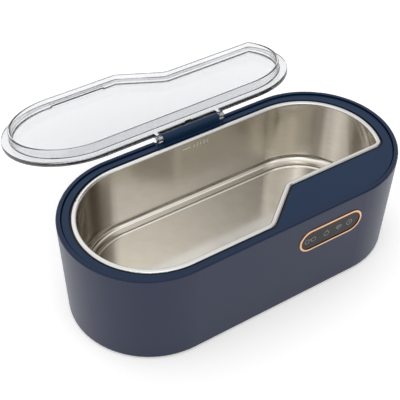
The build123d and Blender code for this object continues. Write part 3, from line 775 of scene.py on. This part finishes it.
@dataclass
class Tank(SubAssembly):
    """Drawn tank with its seal and transducer, and the fill line and scale etched into its back wall."""

    finishes: dict[str, Surface] = field(default_factory=lambda: {
        "tank": STEEL, "tank_seal": RUBBER, "coupling_disc": ALUMINIUM, "piezo_disc": CERAMIC,
        "electrodes": SILVER})
    line_start_mm: float = -9.1
    line_end_mm: float = -3.7
    level_mm: float = 58.5
    line_mm: float = 0.5
    depth_mm: float = 0.04
    tick_count: int = 5
    tick_start_mm: float = -1.5
    tick_pitch_mm: float = 2.3
    tick_height_mm: float = 2.2
    rim_width_mm: float = 3.0

    def bar_tree(self) -> bpy.types.NodeTree:
        """Tree that sets equal bars along a line.

        Returns:
            The geometry tree, with its sizes as named inputs.
        """
        tree = bpy.data.node_groups.new("etched_bars", "GeometryNodeTree")
        face = tree.interface
        face.new_socket("Geometry", in_out="INPUT", socket_type="NodeSocketGeometry")
        face.new_socket("Count", in_out="INPUT", socket_type="NodeSocketInt")
        for name in ("Pitch", "Width", "Depth", "Height"):
            face.new_socket(name, in_out="INPUT", socket_type="NodeSocketFloat")
        face.new_socket("Ink", in_out="INPUT", socket_type="NodeSocketMaterial")
        face.new_socket("Geometry", in_out="OUTPUT", socket_type="NodeSocketGeometry")
        source = add_node(tree, "NodeGroupInput")
        step = add_node(tree, "ShaderNodeCombineXYZ", {"X": source.outputs["Pitch"]})
        line = add_node(tree, "GeometryNodeMeshLine", {"Count": source.outputs["Count"],
                                                       "Offset": step.outputs["Vector"]})
        size = add_node(tree, "ShaderNodeCombineXYZ", {"X": source.outputs["Width"],
                                                       "Y": source.outputs["Depth"],
                                                       "Z": source.outputs["Height"]})
        bar = add_node(tree, "GeometryNodeMeshCube", {"Size": size.outputs["Vector"]})
        placed = add_node(tree, "GeometryNodeInstanceOnPoints", {"Points": line.outputs["Mesh"],
                                                                 "Instance": bar.outputs["Mesh"]})
        real = add_node(tree, "GeometryNodeRealizeInstances", {"Geometry": placed.outputs["Instances"]})
        dressed = add_node(tree, "GeometryNodeSetMaterial", {"Geometry": real.outputs["Geometry"],
                                                             "Material": source.outputs["Ink"]})
        add_node(tree, "NodeGroupOutput", {"Geometry": dressed.outputs["Geometry"]})
        return tree

    def bars(self, tree: bpy.types.NodeTree, name: str, first_x_mm: float, sizes: dict[str, float],
             count: int, material: bpy.types.Material) -> bpy.types.Object:
        """Run the bar tree and keep its result as a plain mesh on the back wall.

        Args:
            tree: the bar tree.
            name: the piece's name.
            first_x_mm: the middle of the first bar.
            sizes: pitch, width and height in millimetres.
            count: how many bars.
            material: the piece's material.

        Returns:
            The piece.
        """
        holder = bpy.data.objects.new(f"{name}_maker", bpy.data.meshes.new(f"{name}_seed"))
        bpy.context.scene.collection.objects.link(holder)
        modifier = holder.modifiers.new("bars", "NODES")
        modifier.node_group = tree
        values = {"Count": count, "Ink": material, "Depth": self.depth_mm * MM}
        values.update({key: size * MM for key, size in sizes.items()})
        for item in tree.interface.items_tree:
            if item.in_out == "INPUT" and item.name in values:
                modifier[item.identifier] = values[item.name]
        depsgraph = bpy.context.evaluated_depsgraph_get()
        mesh = bpy.data.meshes.new_from_object(holder.evaluated_get(depsgraph))
        holder.modifiers.remove(modifier)
        bpy.data.objects.remove(holder)
        wall_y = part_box("tank")[1].y - self.rim_width_mm * MM
        mesh.transform(Matrix.Translation((first_x_mm * MM, wall_y, self.level_mm * MM)))
        mesh.name = name
        piece = mesh_object(name, mesh, material)
        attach(piece, Body.BASE.value)
        return piece

    def build(self, nodes: Nodes, paintshop: Paintshop) -> list[bpy.types.Object]:
        """Dress the tank's nodes and make the fill line and the scale beside it.

        Args:
            nodes: the frame's nodes.
            paintshop: where the materials come from.

        Returns:
            Every piece of the tank.
        """
        tree = self.bar_tree()
        etched = paintshop.get(ETCH)
        line = self.bars(tree, "fill_line", (self.line_start_mm + self.line_end_mm) / 2, {
            "Width": self.line_end_mm - self.line_start_mm, "Height": self.line_mm}, 1, etched)
        scale = self.bars(tree, "fill_ticks", self.tick_start_mm, {
            "Pitch": self.tick_pitch_mm, "Width": self.line_mm, "Height": self.tick_height_mm},
            self.tick_count, etched)
        return [*super().build(nodes, paintshop), line, scale]


@dataclass(frozen=True)
class Card:
    """A soft card among the surroundings: dark where its depth is positive, bright where negative."""

    azimuth_deg: float
    elevation_deg: float
    sharpness: float
    depth: float

    def towards(self) -> Vector:
        """Direction of the card from the object, from the front (-Y) round to the right (+X)."""
        az, el = math.radians(self.azimuth_deg), math.radians(self.elevation_deg)
        return Vector((math.sin(az) * math.cos(el), -math.cos(az) * math.cos(el), math.sin(el)))


@dataclass(frozen=True)
class Lamp:
    """A soft rectangular lamp."""

    name: str
    place_m: tuple[float, float, float]
    size_m: tuple[float, float]
    power_w: float

    def build(self, aim_m: tuple[float, float, float]) -> None:
        """Add the lamp, turned to a point.

        Args:
            aim_m: the point that it faces.
        """
        light = bpy.data.lights.new(self.name, "AREA")
        light.shape = "RECTANGLE"
        light.size, light.size_y = self.size_m
        light.energy = self.power_w
        lamp = bpy.data.objects.new(self.name, light)
        lamp.location = self.place_m
        lamp.rotation_euler = (Vector(aim_m) - lamp.location).to_track_quat("-Z", "Y").to_euler()
        bpy.context.scene.collection.objects.link(lamp)


@dataclass
class Studio:
    """Camera, floor, lamps and surroundings.

    Most cards stand where the tank's steel reflects: the dark ones make its dark bands and the bright ones
    its bright bands. The low one at the front left shades the housing. The back lamp is small and near, so
    that its reflection fades along the tank's back wall.
    """

    azimuth_deg: float = -33.27
    elevation_deg: float = 43.4
    roll_deg: float = 0.87
    distance_mm: float = 586.43
    target_mm: tuple[float, float, float] = (11.13, 50.46, -0.45)
    focal_px: float = 929.09
    frame_px: float = 400.0
    sensor_mm: float = 36.0
    clip_end_m: float = 50.0
    floor_m: float = 6.0
    floor_grey: float = 0.93
    floor_glow: float = 0.32
    sweep_strength: float = 1.0
    sweep_top: float = 0.16
    room_strength: float = 0.75
    room_bottom: float = 0.26
    room_top: float = 0.4
    ceiling_strength: float = 1.05
    ceiling_bottom: float = 0.62
    room_tint: str = "#A88F70"
    tinted_level: float = 0.15
    neutral_level: float = 0.85
    cards: tuple[Card, ...] = (
        Card(75.0, 39.0, 11.0, 0.82), Card(-53.0, 36.0, 60.0, 0.9), Card(-131.0, 38.0, 120.0, 0.35),
        Card(-88.0, 40.0, 90.0, -0.4), Card(-172.0, 38.0, 60.0, -0.55), Card(29.0, 51.0, 200.0, -1.3),
        Card(147.0, 48.0, 60.0, 0.26), Card(88.0, 66.0, 50.0, -0.6), Card(-8.0, 54.0, 80.0, -0.6),
        Card(0.0, 86.0, 26.0, -0.4), Card(-32.0, 6.0, 7.0, 0.4), Card(41.0, 41.0, 100.0, 0.3),
        Card(-25.0, 47.0, 100.0, -0.9))
    lamps: tuple[Lamp, ...] = (Lamp("key", (-0.5, -0.5, 1.1), (0.9, 0.9), 1.0),
                               Lamp("back", (0.3, 0.77, 0.77), (0.34, 0.42), 0.16))
    lamp_aim_m: tuple[float, float, float] = (0.0, 0.0, 0.04)

    def camera(self) -> None:
        """Set the camera where the photograph was taken from."""
        az, el, roll = (math.radians(a) for a in (self.azimuth_deg, self.elevation_deg, self.roll_deg))
        back = Vector((math.sin(az) * math.cos(el), -math.cos(az) * math.cos(el), math.sin(el)))
        right = (-back).cross(Vector((0, 0, 1))).normalized()
        up = right.cross(-back)
        turned_right = right * math.cos(roll) + up * math.sin(roll)
        turned_up = -right * math.sin(roll) + up * math.cos(roll)
        lens = bpy.data.cameras.new("camera")
        lens.sensor_width = self.sensor_mm
        lens.lens = self.focal_px / self.frame_px * self.sensor_mm
        lens.clip_end = self.clip_end_m
        camera = bpy.data.objects.new("camera", lens)
        turn = Matrix((turned_right, turned_up, back)).transposed().to_4x4()
        place = Vector(self.target_mm) * MM + back * self.distance_mm * MM
        camera.matrix_world = Matrix.Translation(place) @ turn
        bpy.context.scene.collection.objects.link(camera)
        bpy.context.scene.camera = camera

    def floor(self) -> None:
        """Plain pale floor, which the camera, gloss and clear plastic see as white."""
        material, tree = new_material("pale_floor")
        path = add_node(tree, "ShaderNodeLightPath")
        lit = add_node(tree, "ShaderNodeBsdfDiffuse", {"Color": grey(self.floor_grey)})
        glow = add_node(tree, "ShaderNodeEmission", {"Strength": self.floor_glow})
        white = add_node(tree, "ShaderNodeAddShader", {0: lit.outputs["BSDF"], 1: glow.outputs["Emission"]})
        seen = path.outputs[Ray.CAMERA.value]
        for ray in (Ray.GLOSSY, Ray.TRANSMISSION):
            seen = add_node(tree, "ShaderNodeMath", {0: seen, 1: path.outputs[ray.value]},
                            operation="MAXIMUM").outputs[0]
        mix = add_node(tree, "ShaderNodeMixShader", {0: seen, 1: lit.outputs["BSDF"],
                                                     2: white.outputs["Shader"]})
        add_node(tree, "ShaderNodeOutputMaterial", {"Surface": mix.outputs["Shader"]})
        mesh = bpy.data.meshes.new("floor")
        half = self.floor_m / 2
        mesh.from_pydata([(-half, -half, 0), (half, -half, 0), (half, half, 0), (-half, half, 0)], [],
                         [(0, 1, 2, 3)])
        mesh_object("floor", mesh, material)

    def glow(self, tree: bpy.types.NodeTree) -> bpy.types.NodeSocket:
        """Strength of the surroundings in every direction.

        A bright sweep low down, a dimmer room above it and a brighter ceiling, times the cards.

        Args:
            tree: the world's tree.

        Returns:
            The strength.
        """
        place = add_node(tree, "ShaderNodeTexCoord")
        height = add_node(tree, "ShaderNodeSeparateXYZ", {"Vector": place.outputs["Generated"]})
        sweep = add_node(tree, "ShaderNodeMapRange", {
            "Value": height.outputs["Z"], "From Min": self.sweep_top, "From Max": self.room_bottom,
            "To Min": self.sweep_strength - self.room_strength, "To Max": 0.0},
            interpolation_type="SMOOTHSTEP")
        ceiling = add_node(tree, "ShaderNodeMapRange", {
            "Value": height.outputs["Z"], "From Min": self.room_top, "From Max": self.ceiling_bottom,
            "To Min": self.room_strength, "To Max": self.ceiling_strength},
            interpolation_type="SMOOTHSTEP")
        level = add_node(tree, "ShaderNodeMath", {0: sweep.outputs["Result"], 1: ceiling.outputs["Result"]},
                         operation="ADD").outputs[0]
        for card in self.cards:
            facing = add_node(tree, "ShaderNodeVectorMath", {
                0: place.outputs["Generated"], 1: card.towards()}, operation="DOT_PRODUCT")
            ahead = add_node(tree, "ShaderNodeMath", {0: facing.outputs["Value"], 1: 0.0},
                             operation="MAXIMUM")
            shaped = add_node(tree, "ShaderNodeMath", {0: ahead.outputs[0], 1: card.sharpness},
                              operation="POWER")
            kept = add_node(tree, "ShaderNodeMath", {0: shaped.outputs[0], 1: -card.depth, 2: 1.0},
                            operation="MULTIPLY_ADD")
            level = add_node(tree, "ShaderNodeMath", {0: level, 1: kept.outputs[0]},
                             operation="MULTIPLY").outputs[0]
        return level

    def surroundings(self) -> None:
        """Soft light from all round: neutral where it is bright, warm where it is dim."""
        world = bpy.data.worlds.new("studio")
        bpy.context.scene.world = world
        world.use_nodes = True
        tree = world.node_tree
        tree.nodes.clear()
        level = self.glow(tree)
        tint = two_tone(tree, level, linear(self.room_tint), grey(1.0), self.tinted_level,
                        self.neutral_level)
        light = add_node(tree, "ShaderNodeBackground", {"Color": tint, "Strength": level})
        add_node(tree, "ShaderNodeOutputWorld", {"Surface": light.outputs["Background"]})

    def build(self) -> None:
        """Set up the whole studio."""
        self.camera()
        self.floor()
        self.surroundings()
        for lamp in self.lamps:
            lamp.build(self.lamp_aim_m)
        bpy.context.scene.view_settings.view_transform = "Standard"


def main() -> None:
    """Load the frame, light it, build each sub-assembly in order and report its pieces."""
    logging.basicConfig(level=logging.INFO, format="%(name)s: %(message)s")
    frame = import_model()
    Studio().build()
    paintshop = Paintshop()
    for assembly in (Housing(), LidAndHinge(), TouchPanel(), Tank(), Electronics()):
        for piece in assembly.build(frame["nodes"], paintshop):
            LOG.info("%s: %s in %s", type(assembly).__name__, piece.name, piece.data.materials[0].name)


if __name__ == "__main__":
    main()
